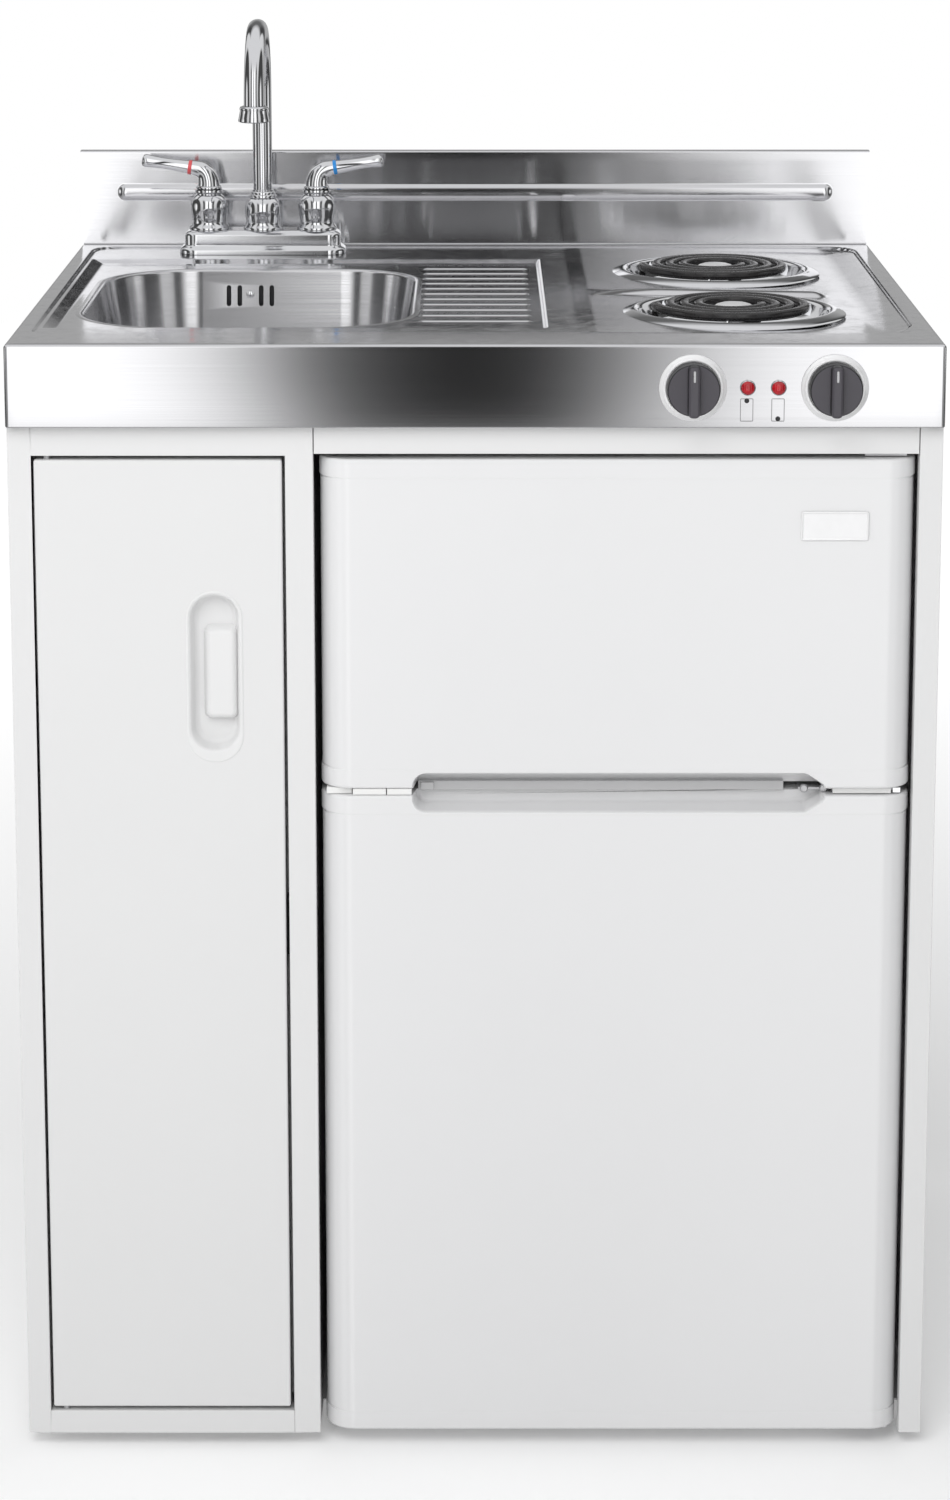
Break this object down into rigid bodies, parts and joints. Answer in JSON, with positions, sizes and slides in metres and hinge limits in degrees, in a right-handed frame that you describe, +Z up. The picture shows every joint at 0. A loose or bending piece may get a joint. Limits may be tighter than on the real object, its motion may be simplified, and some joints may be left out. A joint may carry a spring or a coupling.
{
  "type": "kitchenette unit",
  "caption": "Compact kitchenette: pressed steel worktop with sink, drainer, mixer tap and coil burners over a cupboard and a fridge-freezer.",
  "frame": {"origin": "on the floor, under the middle of the unit's bounding box", "axes": "+Z up, -Y towards the user (the front), +X to the user's right"},
  "size_m": [0.756, 0.641, 1.173],
  "materials": {
    "stainless": "brushed",
    "chrome": "polished",
    "satin_metal": "satin",
    "cabinet_paint": "semi-gloss powder coat",
    "door_enamel": "gloss white",
    "white_plastic": "semi-gloss",
    "clear_plastic": "clear",
    "element": "matt black oxide",
    "black_plastic": "matt",
    "black_paint": "satin black",
    "knob_plastic": "matt",
    "gasket_rubber": "soft matt",
    "red_lens": "glossy"
  },
  "bodies": {
    "unit": {"left_side_panel": "cabinet_paint", "right_side_panel": "cabinet_paint", "bay_divider": "cabinet_paint", "face_frame": "cabinet_paint", "base_pan": "cabinet_paint", "back_panel": "cabinet_paint", "left_front_foot": "black_plastic", "left_rear_foot": "black_plastic", "right_front_foot": "black_plastic", "right_rear_foot": "black_plastic", "door_catch": "black_plastic", "worktop": "stainless", "backsplash": "stainless", "sink_bowl": "stainless", "sink_drain": "stainless", "waste_trap": "white_plastic", "overflow_housing": "white_plastic", "tap_base": "chrome", "front_drip_pan": "chrome", "rear_drip_pan": "chrome", "front_receptacle": "black_plastic", "rear_receptacle": "black_plastic", "left_bezel": "satin_metal", "right_bezel": "satin_metal", "left_switch": "black_plastic", "right_switch": "black_plastic", "left_lamp": "red_lens", "right_lamp": "red_lens", "fridge_casing": "cabinet_paint", "fridge_liner": "white_plastic", "evaporator_plate": "satin_metal", "fridge_shelf": "clear_plastic", "crisper_cover": "clear_plastic", "crisper_drawer": "clear_plastic", "thermostat_housing": "white_plastic", "compressor": "black_paint", "condenser_coil": "black_paint", "top_hinge": "satin_metal", "middle_hinge": "satin_metal", "bottom_hinge": "satin_metal"},
    "cabinet_door": {"cabinet_door": "cabinet_paint", "finger_pull": "white_plastic", "upper_pivot": "satin_metal", "lower_pivot": "satin_metal"},
    "freezer_door": {"freezer_door": "door_enamel", "freezer_door_liner": "white_plastic", "freezer_gasket": "gasket_rubber", "badge_plate": "satin_metal"},
    "fridge_door": {"fridge_door": "door_enamel", "fridge_door_liner": "white_plastic", "fridge_gasket": "gasket_rubber"},
    "spout": {"spout": "chrome", "aerator": "chrome"},
    "hot_lever": {"hot_lever": "chrome"},
    "cold_lever": {"cold_lever": "chrome"},
    "left_knob": {"left_knob": "knob_plastic"},
    "right_knob": {"right_knob": "knob_plastic"},
    "front_coil": {"front_coil": "element"},
    "rear_coil": {"rear_coil": "element"},
    "thermostat_knob": {"thermostat_knob": "white_plastic"}
  },
  "joints": [
    {"name": "cabinet_door_hinge", "type": "hinge", "parent": "unit", "child": "cabinet_door", "pos_m": [-0.347, -0.2805, 0.444], "axis": [0, 0, -1], "range_deg": [0, 110]},
    {"name": "freezer_door_hinge", "type": "hinge", "parent": "unit", "child": "freezer_door", "pos_m": [0.334, -0.2645, 0.714], "axis": [0, 0, 1], "range_deg": [0, 90]},
    {"name": "fridge_door_hinge", "type": "hinge", "parent": "unit", "child": "fridge_door", "pos_m": [0.334, -0.2645, 0.292], "axis": [0, 0, 1], "range_deg": [0, 90]},
    {"name": "spout_swivel", "type": "hinge", "parent": "unit", "child": "spout", "pos_m": [-0.201, 0.2635, 1], "axis": [0, 0, 1], "range_deg": [-90, 90]},
    {"name": "hot_lever_turn", "type": "hinge", "parent": "unit", "child": "hot_lever", "pos_m": [-0.252, 0.2635, 1], "axis": [0, 0, 1], "range_deg": [0, 90]},
    {"name": "cold_lever_turn", "type": "hinge", "parent": "unit", "child": "cold_lever", "pos_m": [-0.15, 0.2635, 1], "axis": [0, 0, -1], "range_deg": [0, 90]},
    {"name": "left_knob_turn", "type": "hinge", "parent": "unit", "child": "left_knob", "pos_m": [0.1748, -0.2965, 0.914], "axis": [0, 1, 0], "continuous": true},
    {"name": "right_knob_turn", "type": "hinge", "parent": "unit", "child": "right_knob", "pos_m": [0.2888, -0.2965, 0.914], "axis": [0, 1, 0], "continuous": true},
    {"name": "front_coil_tilt", "type": "hinge", "parent": "unit", "child": "front_coil", "pos_m": [0.1315, -0.1145, 0.923], "axis": [0, -1, 0], "range_deg": [0, 18]},
    {"name": "rear_coil_tilt", "type": "hinge", "parent": "unit", "child": "rear_coil", "pos_m": [0.1315, 0.1275, 0.923], "axis": [0, -1, 0], "range_deg": [0, 18]},
    {"name": "thermostat_turn", "type": "hinge", "parent": "unit", "child": "thermostat_knob", "pos_m": [0.285, -0.0765, 0.462], "axis": [-1, 0, 0], "range_deg": [0, 270]}
  ]
}
